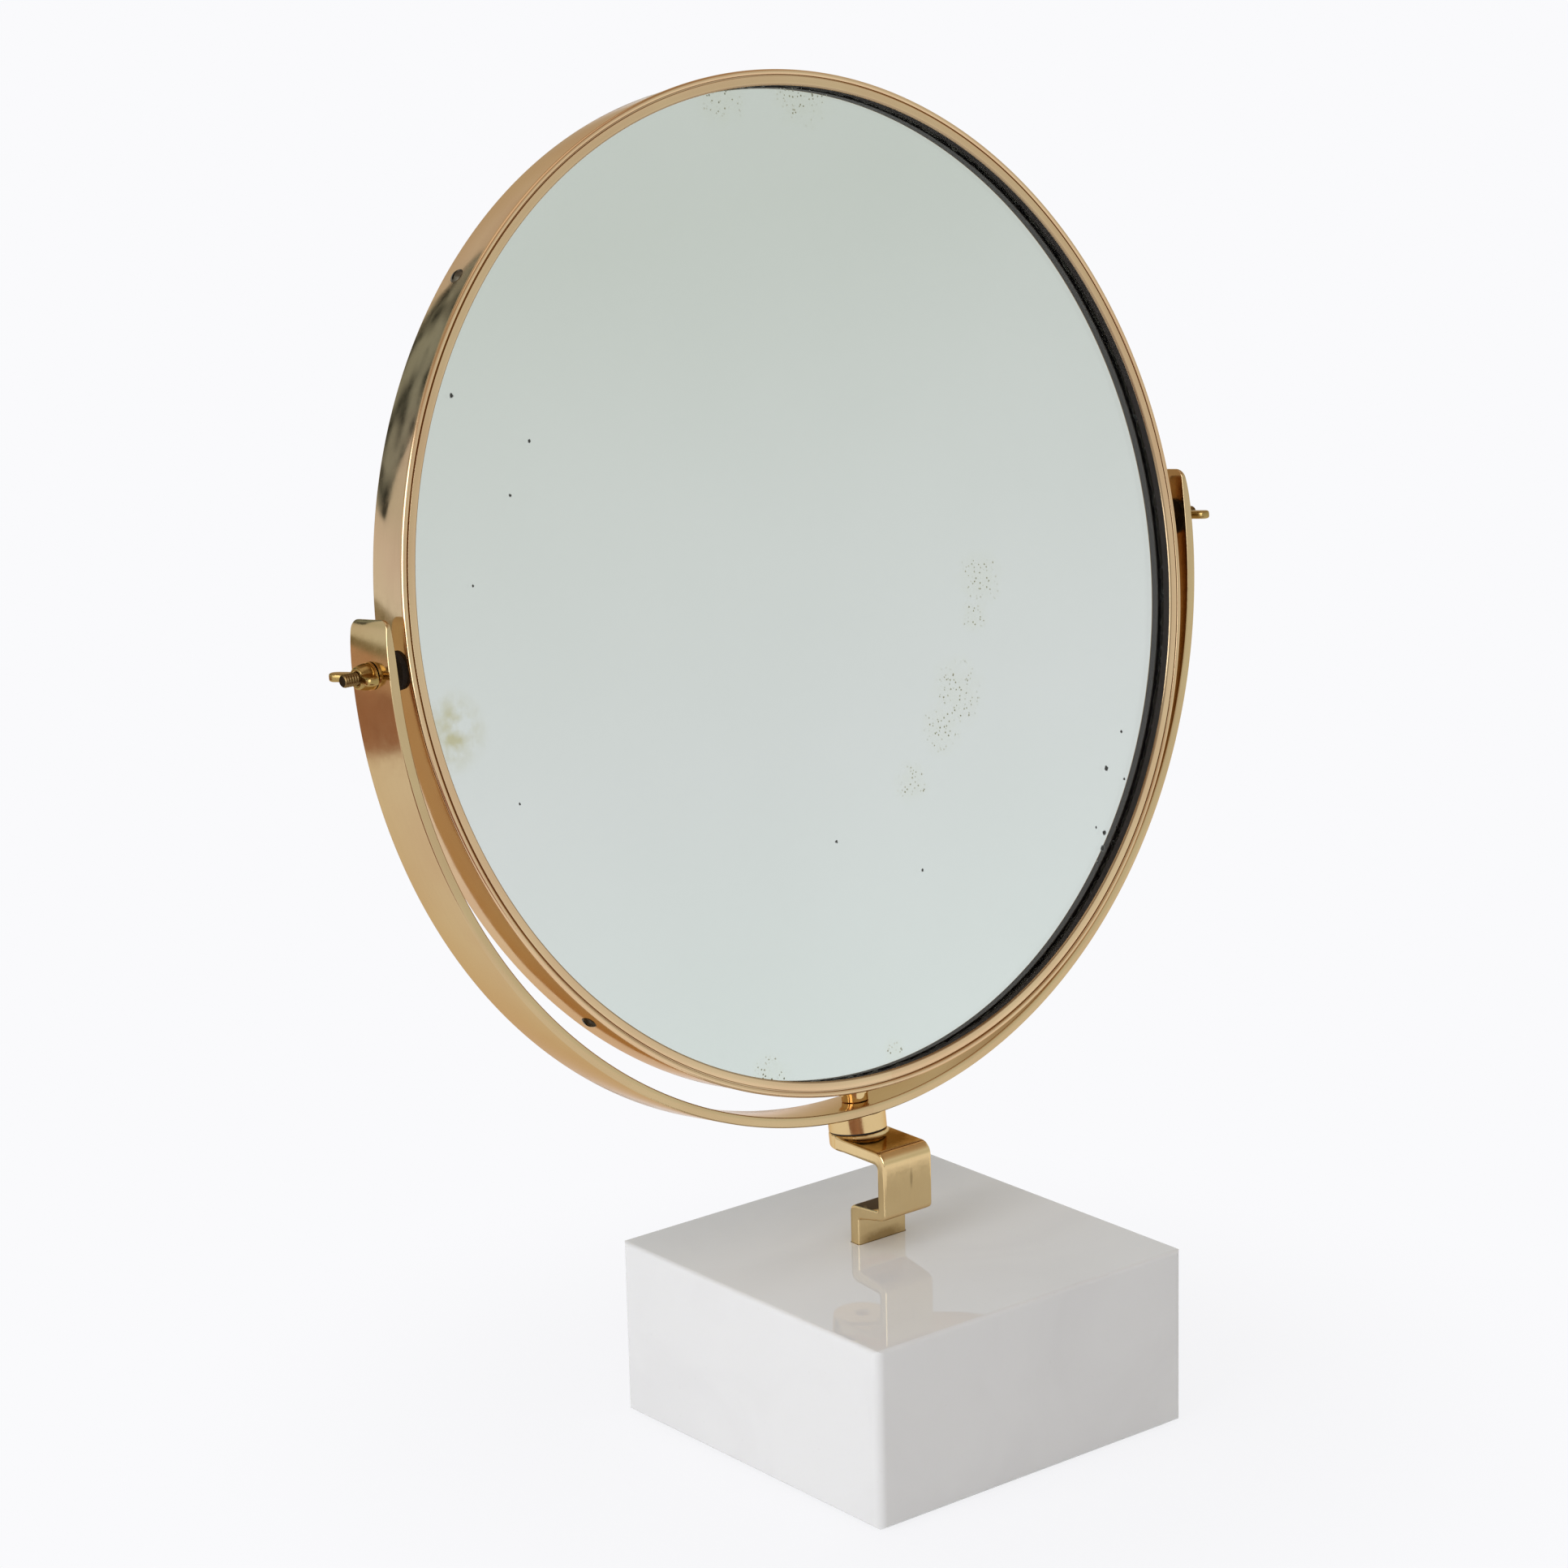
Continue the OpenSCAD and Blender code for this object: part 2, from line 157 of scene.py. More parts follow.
def stained(tree, colour, patch, stains):
    """Lays stains over a colour, ragged by the patches. Returns it, and where the metal is left dull.
    A stain has its middle and reach in millimetres, strength, hue, and whether only tops take it. One of
    full strength has a crisp edge and leaves the metal dull."""
    up = add(tree, "SeparateXYZ", gives=2, in0=add(tree, "TexCoord", gives="Normal"))
    on_top = add(tree, "ValToRGB", gives=0, in0=up, stops=((0.6, 0), (0.85, 1)))
    ragged_by, shortened = 0.9, 0.6
    inside, crisp, soft = 0.55, 0.62, 0.9
    dulled = 0.0
    for middle, reach, strength, hue, only_on_top in stains:
        full = strength >= 1
        local = add(tree, "Mapping", INTO_FRAME, 0, Vector=places(tree),
                    Location=[c * MM for c in middle], Scale=[c * MM for c in reach])
        away = add(tree, "VectorMath", LENGTH, "Value", in0=local)
        ragged = add(tree, "Math", PRODUCT_AND_SUM, 0, in0=patch, in1=ragged_by, in2=away)
        # a ramp ends at 1, so the distance is shortened to fit on it
        short = add(tree, "Math", PRODUCT, 0, in0=ragged, in1=shortened)
        share = add(tree, "ValToRGB", gives=0, in0=short,
                    stops=((inside, strength), (crisp if full else soft, 0.0)))
        if only_on_top:
            share = add(tree, "Math", PRODUCT, 0, in0=share, in1=on_top)
        if full:
            dulled = add(tree, "Math", LARGER, 0, in0=share, in1=dulled)
        colour = add(tree, "Mix", COLOURS, 2, in0=share, in6=colour, in7=linear(hue))
    return colour, dulled


def painted_shade_lines(tree, colour, here, shade_lines, dark):
    """Painted shade: dark lines round a ring, standing for the shade in its groove and on its rolled inner
    edge. A line has radius, half width and strength.
    """
    outwards = add(tree, "SeparateXYZ", gives=2, in0=here)
    for middle, half, strength in shade_lines:
        line = add(tree, "Math", {"operation": "COMPARE"}, 0, in0=outwards, in1=middle * MM, in2=half * MM)
        line = add(tree, "Math", PRODUCT, 0, in0=line, in1=strength)
        colour = add(tree, "Mix", COLOURS, 2, in0=line, in6=colour, in7=dark)
    return colour


def dented(tree, normal, here, size, depth, detail):
    """Shallow unevenness of that size and depth in millimetres, which bends what the metal mirrors."""
    lumps = add(tree, "TexNoise", gives="Fac", Vector=here, Scale=cells_of(size), Detail=detail)
    return add(tree, "Bump", gives=0, Strength=1.0, Distance=depth * MM, Height=lumps, Normal=normal)


def brass(name, clean, warm, dark, gloss, along, stretch, spots=0.0, wavy=0.0, cast=0.0,
          stains=(), shade_lines=()):
    """Brass polished on the wheel and lacquered long ago, so it mirrors its surroundings with a soft
    gold tint. clean is the bare metal, warm the rosy tint of the old lacquer and dark the colour where
    it has tarnished, which also colours the lines of painted shade. spots widens the tarnished
    patches; wavy and cast are the depths in millimetres of broad dents and of a cast skin."""
    material, tree = new_finish(name)
    here = along(tree)
    cloud = add(tree, "TexNoise", gives="Fac", Vector=here, Scale=cells_of(50), Detail=3.0)
    patch = add(tree, "TexNoise", gives="Fac", Vector=here, Scale=cells_of(6), Detail=6.0, Roughness=0.7)
    lined = add(tree, "Mapping", gives=0, Vector=here, Scale=stretch)
    # wheel marks are 0.1 mm apart on the real metal; drawn at 0.5 mm so that they don't shimmer
    wheel = add(tree, "TexNoise", gives="Fac", Vector=lined, Scale=cells_of(0.5), Detail=2.0)
    tarnish_and_shade = linear(dark)
    rosy = add(tree, "ValToRGB", gives=0, in0=cloud, stops=((0.4, 0), (0.75, 0.6)))
    colour = add(tree, "Mix", COLOURS, 2, in0=rosy, in6=linear(clean), in7=linear(warm))
    failed = add(tree, "ValToRGB", gives=0, in0=patch, stops=((0.74 - spots, 0), (0.8 - spots, 0.7)))
    colour = add(tree, "Mix", COLOURS, 2, in0=failed, in6=colour, in7=tarnish_and_shade)
    marks = add(tree, "ValToRGB", gives=0, in0=wheel, stops=((0.4, 0.0), (0.85, 0.04)))
    colour = add(tree, "Mix", COLOURS, 2, in0=marks, in6=colour, in7=tarnish_and_shade)
    rough = add(tree, "MapRange", gives=0, Value=patch, in1=0.35, in2=0.75, in3=gloss, in4=gloss + 0.1)
    if stains:
        colour, dulled = stained(tree, colour, patch, stains)
        rough = add(tree, "Math", PRODUCT_AND_SUM, 0, in0=dulled, in1=0.45, in2=rough)
    # dark lines of painted shade, where a groove or a rolled edge lies in shade
    if shade_lines:
        colour = painted_shade_lines(tree, colour, here, shade_lines, tarnish_and_shade)
    normal = add(tree, "Bump", gives=0, Strength=0.02, Distance=0.03 * MM, Height=wheel)
    if wavy:
        normal = dented(tree, normal, here, 30, wavy, 1.0)
    if cast:
        normal = dented(tree, normal, here, 6, cast, 2.0)
    shader = add(tree, "BsdfPrincipled", gives=0, Base_Color=colour, Metallic=1.0, Roughness=rough,
                 Normal=normal, Specular_Tint=linear("#e6cdb2"))
    add(tree, "OutputMaterial", in0=shader)
    return material


def polished_marble():
    """White statuary marble, sawn, honed and polished to a mirror: light passes a little way into it,
    faint grey drifts run through it, and it mirrors the neck."""
    material, tree = new_finish("polished white marble")
    here = places(tree)
    drift = add(tree, "TexNoise", gives="Fac", Vector=here, Scale=cells_of(71.4), Detail=6.0, Distortion=1.2)
    grain = add(tree, "TexNoise", gives="Fac", Vector=here, Scale=cells_of(2.38), Detail=3.0)
    veined = add(tree, "ValToRGB", gives=0, in0=drift, stops=((0.45, 0), (0.85, 0.5)))
    colour = add(tree, "Mix", COLOURS, 2, in0=veined, in6=linear("#e8e6e4"), in7=linear("#dcd9d8"))
    grey = add(tree, "ValToRGB", gives=0, in0=grain, stops=((0.68, 0), (0.82, 0.2)))
    colour = add(tree, "Mix", COLOURS, 2, in0=grey, in6=colour, in7=linear("#c9c6be"))
    rough = add(tree, "ValToRGB", gives=0, in0=grain, stops=((0.4, 0.008), (0.8, 0.025)))
    shader = add(tree, "BsdfPrincipled", gives=0, Base_Color=colour, Roughness=rough, IOR=1.5,
                 Subsurface_Weight=0.12, Subsurface_Radius=(0.004, 0.004, 0.0035), Subsurface_Scale=1.0)
    add(tree, "OutputMaterial", in0=shader)
    return material


def wool_felt():
    """Green baize felt, pressed wool: dull, and mottled every 0.9 mm or so by its short fibres."""
    material, tree = new_finish("green wool felt")
    fibre = add(tree, "TexNoise", gives="Fac", Vector=places(tree), Scale=cells_of(0.9), Detail=6.0,
                Roughness=0.8)
    colour = add(tree, "Mix", COLOURS, 2, in0=fibre, in6=linear("#2f3d2c"), in7=linear("#4c5c45"))
    nap = add(tree, "Bump", gives=0, Strength=0.6, Distance=0.2 * MM, Height=fibre)
    shader = add(tree, "BsdfPrincipled", gives=0, Base_Color=colour, Roughness=0.95, Sheen_Weight=0.4,
                 Sheen_Roughness=0.5, Normal=nap)
    add(tree, "OutputMaterial", in0=shader)
    return material


def steel(name, pale, dark, gloss):
    """Machined or plated steel under a thin film of age: grey, satin, cloudy every 2 mm or so."""
    material, tree = new_finish(name)
    film = add(tree, "TexNoise", gives="Fac", Vector=places(tree), Scale=cells_of(2), Detail=6.0)
    aged = add(tree, "ValToRGB", gives=0, in0=film, stops=((0.35, 0), (0.75, 1)))
    colour = add(tree, "Mix", COLOURS, 2, in0=aged, in6=linear(pale), in7=linear(dark))
    rough = add(tree, "ValToRGB", gives=0, in0=film, stops=((0.3, gloss), (0.8, gloss + 0.25)))
    shader = add(tree, "BsdfPrincipled", gives=0, Base_Color=colour, Metallic=1.0, Roughness=rough)
    add(tree, "OutputMaterial", in0=shader)
    return material


def dull(name, first, second, size, rough, relief=0.1):
    """Moulded rubber, pressed fibre, card or brushed paint: a dull skin with its own fine mottle, of
    that size and relief in millimetres."""
    material, tree = new_finish(name)
    mottle = add(tree, "TexNoise", gives="Fac", Vector=places(tree), Scale=cells_of(size), Detail=6.0,
                 Roughness=0.7)
    share = add(tree, "ValToRGB", gives=0, in0=mottle, stops=((0.3, 0), (0.7, 1)))
    colour = add(tree, "Mix", COLOURS, 2, in0=share, in6=linear(first), in7=linear(second))
    skin = add(tree, "Bump", gives=0, Strength=0.4, Distance=relief * MM, Height=mottle)
    shader = add(tree, "BsdfPrincipled", gives=0, Base_Color=colour, Roughness=rough, Normal=skin)
    add(tree, "OutputMaterial", in0=shader)
    return material


def planed_softwood():
    """Thin softwood board, planed: straight upright grain with darker late wood."""
    material, tree = new_finish("planed softwood")
    ring_width = 7.48
    upright = add(tree, "Mapping", gives=0, Vector=places(tree, GLASS), Scale=(1.0, 1.0, 0.08))
    warp = add(tree, "TexNoise", gives="Color", Vector=upright, Scale=cells_of(33.3), Detail=3.0)
    bent = add(tree, "VectorMath", PRODUCT_AND_SUM, 0, in0=warp, in1=(0.02,) * 3, in2=upright)
    # at scale 1 a wave repeats every pi / 10
    rings = add(tree, "TexWave", {"bands_direction": "X"}, "Fac", Vector=bent,
                Scale=math.pi / 10 * cells_of(ring_width), Distortion=2.0, Detail=2.0)
    late = add(tree, "ValToRGB", gives=0, in0=rings, stops=((0.2, 0), (0.9, 1)))
    colour = add(tree, "Mix", COLOURS, 2, in0=late, in6=linear("#b8925f"), in7=linear("#8f6a3f"))
    shader = add(tree, "BsdfPrincipled", gives=0, Base_Color=colour, Roughness=0.6)
    add(tree, "OutputMaterial", in0=shader)
    return material


def plate_glass():
    """Plate glass, ground and polished, with a faint green cast: clear, very slightly hazed in places."""
    material, tree = new_finish("plate glass")
    haze = add(tree, "TexNoise", gives="Fac", Vector=places(tree, GLASS), Scale=cells_of(111), Detail=4.0)
    rough = add(tree, "ValToRGB", gives=0, in0=haze, stops=((0.35, 0.0), (0.9, 0.012)))
    shader = add(tree, "BsdfPrincipled", gives=0, Base_Color=linear("#fcfefd"), Roughness=rough, IOR=1.52,
                 Transmission_Weight=1.0)
    add(tree, "OutputMaterial", in0=shader)
    return material


# Silvering

# Dark spots of the old silvering: across, up and radius, in millimetres from the glass's middle
SPOTS = [
    (-153, 90, 0.9), (-122, 70, 0.8), (-134, 52, 0.7), (-156, 23, 0.5), (-150, -56, 0.5),
    (-6, -97, 0.7), (35, -116, 0.7), (140, -95, 1.1), (149, -101, 0.6), (151, -82, 0.6),
    (134, -120, 1.1), (132, -126, 1.3), (138, -125, 1.2), (128, -131, 0.8), (140, -129, 0.9),
    (141, -119, 0.7), (135, -131, 0.7), (130, -117, 0.6),
]
# Clouds of fine olive specks where the silver has let go: across, up and reach
CLOUDS = [(86, -10, 20), (80, -24, 12), (66, -52, 24), (55, -64, 18), (36, -82, 15), (8, -181, 9),
          (-11, 186, 22), (30, 184, 26), (-54, -177, 16)]
# A pale yellow bloom at the left rim: across, up and reach
BLOOM = (-174, -26, 17)


def fade_from(tree, point, across, up, near, far):
    """One inside the near distance from a place on the glass, none beyond the far one."""
    gap = add(tree, "VectorMath", {"operation": "DISTANCE"}, "Value", in0=point,
              in1=(across * MM, 0.0, up * MM))
    return add(tree, "MapRange", EASED, 0, Value=gap, in1=near * MM, in2=far * MM, in3=1.0, in4=0.0)


def black_spots(tree, flat):
    """The spots that are placed one by one, with ragged edges."""
    ragged_by = 1.1 * MM
    wobble = add(tree, "TexNoise", gives="Color", Vector=flat, Scale=cells_of(1.111), Detail=2.0)
    ragged = add(tree, "VectorMath", PRODUCT_AND_SUM, 0, in0=wobble, in1=(ragged_by,) * 3, in2=flat)
    ragged = add(tree, "VectorMath", {"operation": "SUBTRACT"}, 0, in0=ragged, in1=(ragged_by / 2,) * 3)
    spots = 0.0
    for across, up, radius in SPOTS:
        spot = fade_from(tree, ragged, across, up, radius * 0.6, radius * 1.15)
        spots = add(tree, "Math", LARGER, 0, in0=spots, in1=spot)
    return spots


def specks_and_haze(tree, flat):
    """Fine specks inside the clouds, and the thin haze between them. The real specks are about 0.3 mm
    wide; drawn at about 0.7 mm, every 1.6 mm or so, so that they show."""
    cells = add(tree, "TexVoronoi", gives="Distance", Vector=flat, Scale=cells_of(1.6))
    dots = add(tree, "ValToRGB", gives=0, in0=cells, stops=((0.12, 0.95), (0.32, 0)))
    clouds = 0.0
    for across, up, reach in CLOUDS:
        cloud = fade_from(tree, flat, across, up, 0.1 * reach, reach)
        clouds = add(tree, "Math", LARGER, 0, in0=clouds, in1=cloud)
    sieve = add(tree, "TexNoise", gives="Fac", Vector=flat, Scale=cells_of(4.167), Detail=2.0)
    thin = add(tree, "Math", PRODUCT, 0, in0=clouds, in1=sieve)
    open_here = add(tree, "ValToRGB", gives=0, in0=thin, stops=((0.26, 0), (0.42, 1)))
    specks = add(tree, "Math", PRODUCT, 0, in0=dots, in1=open_here)
    haze = add(tree, "ValToRGB", gives=0, in0=thin, stops=((0.15, 0), (0.55, 0.13)))
    return specks, haze


def yellow_bloom(tree, flat):
    """The bloom, broken up by its own mottle."""
    across, up, reach = BLOOM
    mottle = add(tree, "TexNoise", gives="Fac", Vector=flat, Scale=cells_of(9.09), Detail=3.0)
    mottle = add(tree, "ValToRGB", gives=0, in0=mottle, stops=((0.35, 0), (0.6, 0.8)))
    return add(tree, "Math", PRODUCT, 0, in0=fade_from(tree, flat, across, up, 2, reach), in1=mottle)


def bitten_rim(tree, flat):
    """The narrow olive line round the edge, where damp has bitten into the silver."""
    whole_to, bitten_from = 184.8 * MM, 186.8 * MM
    outwards = add(tree, "VectorMath", LENGTH, "Value", in0=flat)
    edge = add(tree, "MapRange", gives=0, Value=outwards, in1=whole_to, in2=bitten_from, in3=-0.5, in4=0.2)
    bite = add(tree, "TexNoise", gives="Fac", Vector=flat, Scale=cells_of(6.25), Detail=2.0)
    bitten = add(tree, "Math", {"operation": "ADD"}, 0, in0=edge, in1=bite)
    return add(tree, "ValToRGB", gives=0, in0=bitten, stops=((0.5, 0), (0.64, 0.85)))


def aged_silver():
    """Silver laid on the back of the glass, aged: a little dim, spotted black, specked and bloomed."""
    material, tree = new_finish("aged silvering")
    parts = add(tree, "SeparateXYZ", in0=places(tree, GLASS)).outputs
    flat = add(tree, "CombineXYZ", gives=0, in0=parts[0], in1=0.0, in2=parts[2])
    spots = black_spots(tree, flat)
    specks, haze = specks_and_haze(tree, flat)
    rim = bitten_rim(tree, flat)
    dim = add(tree, "TexNoise", gives="Fac", Vector=flat, Scale=cells_of(200), Detail=3.0)
    dim = add(tree, "ValToRGB", gives=0, in0=dim, stops=((0.3, 0), (0.8, 1)))
    colour = add(tree, "Mix", COLOURS, 2, in0=dim, in6=linear("#eceeed"), in7=linear("#e6e9e7"))
    for share, hue in ((yellow_bloom(tree, flat), "#c9c08e"), (haze, "#dcdcbc"), (specks, "#b5b08e"),
                       (rim, "#5e5b47"), (spots, "#3f3e38")):
        colour = add(tree, "Mix", COLOURS, 2, in0=share, in6=colour, in7=linear(hue))
    gone = add(tree, "Math", LARGER, 0, in0=spots, in1=rim)
    gone = add(tree, "Math", LARGER, 0, in0=specks, in1=gone)
    rough = add(tree, "MapRange", gives=0, Value=gone, in1=0.0, in2=1.0, in3=0.01, in4=0.6)
    shader = add(tree, "BsdfPrincipled", gives=0, Base_Color=colour, Metallic=1.0, Roughness=rough)
    add(tree, "OutputMaterial", in0=shader)
    return material


# Which finish goes where

# The lower leg's unpolished top, the top leg's olive top, the front plate's mark and the tang's foot
NECK_STAINS = [
    ((0, 7, 87.0), (30, 20, 4), 1.0, "#57504a", True),
    ((1, 10, 111.6), (16, 14, 3.4), 0.85, "#6b5129", True),
    ((1.5, -6, 99), (0.8, 1.5, 5), 0.45, "#7d6a48", False),
    ((0, 9.6, 71.2), (14, 3, 4.0), 0.6, "#86693a", False),
]
# The dark end face of each stud
STUD_END_STAINS = [(tuple(MIRROR @ Vector((side * STUD_END, 0, 0)) / MM), (0.9, 9, 9), 1.0, "#33291f", False)
                   for side in (-1, 1)]
# The bezel's two lines of painted shade: on the rolled edge beside the glass and in the groove
BEZEL_PAINTED_SHADE = ((186.45, 0.35, 0.45), (189.88, 0.3, 0.25))
# How much longer than wide the wheel's marks run, as a pattern's scale along each coordinate
ROUND_IT, UPRIGHT, SHORT = (0.03, 1.0, 1.0), (1.0, 1.0, 0.05), (1.0, 1.0, 0.3)

FINISHES = {
    "marble": polished_marble(),
    "felt": wool_felt(),
    "cast_brass": brass("cast brass", "#e4ca98", "#cdab78", "#5c4c36", 0.08, places, UPRIGHT,
                        spots=0.03, cast=0.05, stains=NECK_STAINS),
    "bar_brass": brass("rolled brass bar", "#ccb388", "#c3a27a", "#6b5636", 0.1, along_hoop, ROUND_IT,
                       wavy=0.1),
    "frame_brass": brass("spun brass band", "#dabf9c", "#d0aa8e", "#4a3c2c", 0.07, along_band, ROUND_IT,
                         wavy=0.45),
    # the bezel's groove and rolled lip edge carry lines of painted shade
    "bezel_brass": brass("pressed brass bezel", "#dfc29a", "#d6ae88", "#4d4234", 0.12, along_band, ROUND_IT,
                         spots=0.02, shade_lines=BEZEL_PAINTED_SHADE),
    "turned_brass": brass("turned brass", "#dcc08c", "#c9a474", "#5d4b30", 0.05, places, SHORT, spots=0.02),
    "zinc_steel": steel("zinc-plated steel", "#b9bab5", "#85847c", 0.3),
    "dark_steel": steel("darkened steel", "#6a6355", "#3a342b", 0.35),
    "rubber": dull("black rubber", "#27221f", "#302a26", 1.2, 0.7),
    "fibre": dull("black fibre", "#1b1714", "#2d2620", 1.0, 0.8),
    "card": dull("grey card", "#9b8f7a", "#85796a", 1.5, 0.9),
    "board": planed_softwood(),
    "back_paint": dull("black back paint", "#1f1f1f", "#2b2a29", 4.0, 0.55, 0.15),
    "silvered_glass": plate_glass(),
}
# The clamp is turned by hand, so its brass has gone olive and brown
HANDLED_FINISH = brass("handled cast brass", "#ab905a", "#917444", "#4a3b25", 0.17, places, SHORT,
                       spots=0.06, cast=0.05)
THREAD_FINISH = brass("handled brass thread", "#7f6843", "#5d452b", "#2a2017", 0.26, places, SHORT,
                      spots=0.16, stains=STUD_END_STAINS)
SILVER_FINISH = aged_silver()


def wear(obj, material):
    obj.data.materials.clear()
    obj.data.materials.append(material)


# Piece making

def smooth_shaded(obj, angle=35):
    """Soft shading over shallow folds, crisp over sharp ones."""
    for face in obj.data.polygons:
        face.use_smooth = True
    with bpy.context.temp_override(object=obj, active_object=obj, selected_objects=[obj],
                                   selected_editable_objects=[obj]):
        bpy.ops.object.shade_smooth_by_angle(angle=math.radians(angle))


def new_piece(name, mesh, body, material):
    obj = bpy.data.objects.new(name, mesh)
    bpy.context.scene.collection.objects.link(obj)
    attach(obj, body)
    wear(obj, material)
    return obj


def mesh_of(name, made, where=None):
    """Turns what was made into a mesh, set in that frame."""
    if where is not None:
        made.transform(where)
    mesh = bpy.data.meshes.new(name)
    made.to_mesh(mesh)
    made.free()
    return mesh


def bridge(made, layers):
    """Skins the gaps between rings of corners, each ring closed on itself."""
    for low, high in zip(layers, layers[1:]):
        for j in range(len(low)):
            k = (j + 1) % len(low)
            made.faces.new((low[j], low[k], high[k], high[j]))


def softened(name, node, body, material, voxel, passes, swell):
    """A casting copied from its plain solid, with the sharp edges rubbed round."""
    mesh = nodes[node].data.copy()
    mesh.name = name
    obj = new_piece(name, mesh, body, material)
    skin = obj.modifiers.new("skin", "REMESH")
    skin.mode = "VOXEL"
    skin.voxel_size = voxel * MM
    skin.use_smooth_shade = True
    rub = obj.modifiers.new("rub", "SMOOTH")
    rub.factor = 0.5
    rub.iterations = passes
    fill = obj.modifiers.new("fill", "DISPLACE")
    fill.mid_level = 0.0
    fill.strength = swell * MM
    rubbed = obj.evaluated_get(bpy.context.evaluated_depsgraph_get())
    done = bpy.data.meshes.new_from_object(rubbed)
    obj.modifiers.clear()
    obj.data = done
    for face in done.polygons:
        face.use_smooth = True
    wear(obj, material)
    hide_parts(node)


def arc(middle_r, middle_y, radius, start, end, steps):
    """Points of a round part of a turned outline, as (radius, depth); angles in degrees from outwards."""
    angles = [math.radians(start + (end - start) * i / steps) for i in range(steps + 1)]
    return [(middle_r + radius * math.cos(a), middle_y + radius * math.sin(a)) for a in angles]


def turned_ring(name, outline, node, slot):
    """A ring spun to that closed outline round the middle of the glass."""
    steps = 600
    made = bmesh.new()
    layers = []
    for i in range(steps):
        a = 2 * math.pi * i / steps
        layers.append([made.verts.new((r * MM * math.sin(a), y * MM, r * MM * math.cos(a)))
                       for r, y in outline])
    bridge(made, layers + layers[:1])
    bmesh.ops.recalc_face_normals(made, faces=made.faces)
    ring = new_piece(name, mesh_of(name, made, GLASS), "mirror", FINISHES[slot])
    smooth_shaded(ring, 50)
    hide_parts(node)


# Pieces

def bezel_outline():
    """From the glass outwards: thin lip with a rolled edge, flat, scribed groove, small half-round bead."""
    lip_from, lip_middle, lip_round = 186.35, 186.95, 0.8
    groove_from, groove_to, corner_middle, corner = 189.66, 190.1, 189.45, 0.15
    bead_middle, bead, skirt = 191.05, 1.1, 188.5
    front, groove_floor, face, back = -11.0, -10.24, -10.2, -9.02
    return ([(lip_from, face + 0.05)]
            + arc(lip_middle, face, lip_round, 180, 270, 8)
            + arc(corner_middle, front + corner, corner, 270, 350, 3)
            + [(groove_from, groove_floor), (groove_to, groove_floor + 0.02)]
            + arc(bead_middle, face, bead, 215, 420, 22)
            + [(skirt, back), (skirt, face + 0.1)])


def band_outline():
    """A flat band with rounded outer edges."""
    outside, inside, front, back, edge, edge_middle = 190.6, 189.1, -9.0, 8.9, 0.4, -8.7
    return (arc(outside - edge, edge_middle, edge, 0, -60, 3) + [(inside, front), (inside, back)]
            + arc(outside - edge, back - edge, edge, 90, 0, 5))


def bent_hoop():
    """The hoop as bent from flat bar: soft arrises, and ends filed round, narrower and thin on the inside."""
    middle, thick, wide, end_height, drop = 199.4, 4.0, 22.8, 19.5, 1.0
    corner, arris = 3.4, 0.55
    bevel, bevel_reach, filed, filed_reach, narrowed = 1.0, 4.5, 0.72, 7.5, 0.9
    arris_steps, plain_steps = 5, 110
    reach = math.acos(-(end_height + drop) / (middle + thick / 2))
    # cross-sections stand closer together near the rounded end; millimetres from it
    near_end = [d / middle for d in (0.0, 0.12, 0.3, 0.6, 1.0, 1.5, 2.1, 2.8, 3.4, 4.5, 6, 8, 11, 15, 20)]
    left_over = reach - near_end[-1]
    half = near_end + [near_end[-1] + left_over * i / plain_steps for i in range(1, plain_steps + 1)]
    rings = []
    for angle in [d - reach for d in half] + [reach - d for d in reversed(half[:-1])]:
        left = (reach - abs(angle)) * middle
        inset = corner - math.sqrt(max(0.0, corner ** 2 - (corner - left) ** 2)) if left < corner else 0.0
        worn = math.exp(-left / filed_reach)
        half_wide = wide / 2 - inset - narrowed * worn
        outside = middle + thick / 2 - bevel * math.exp(-left / bevel_reach)
        half_thick = thick / 2 * (1 - filed * worn)
        centre = outside - half_thick
        soft = min(arris, half_thick * 0.9)
        ring = []
        for sy, sr, start in ((1, 1, 0), (-1, 1, 90), (-1, -1, 180), (1, -1, 270)):
            for step in range(arris_steps):
                a = math.radians(start + 90 * step / (arris_steps - 1))
                y = sy * (half_wide - soft) + soft * math.cos(a)
                r = centre + sr * (half_thick - soft) + soft * math.sin(a)
                ring.append((r * math.sin(angle), y, -drop - r * math.cos(angle)))
        rings.append(ring)
    made = bmesh.new()
    layers = [[made.verts.new([c * MM for c in point]) for point in ring] for ring in rings]
    bridge(made, layers)
    made.faces.new(layers[0])
    made.faces.new(layers[-1])
    bmesh.ops.recalc_face_normals(made, faces=made.faces)
    hoop = new_piece("bent_hoop", mesh_of("bent_hoop", made, HOOP), "hoop",
                     FINISHES["bar_brass"])
    smooth_shaded(hoop, 40)
    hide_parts("hoop")


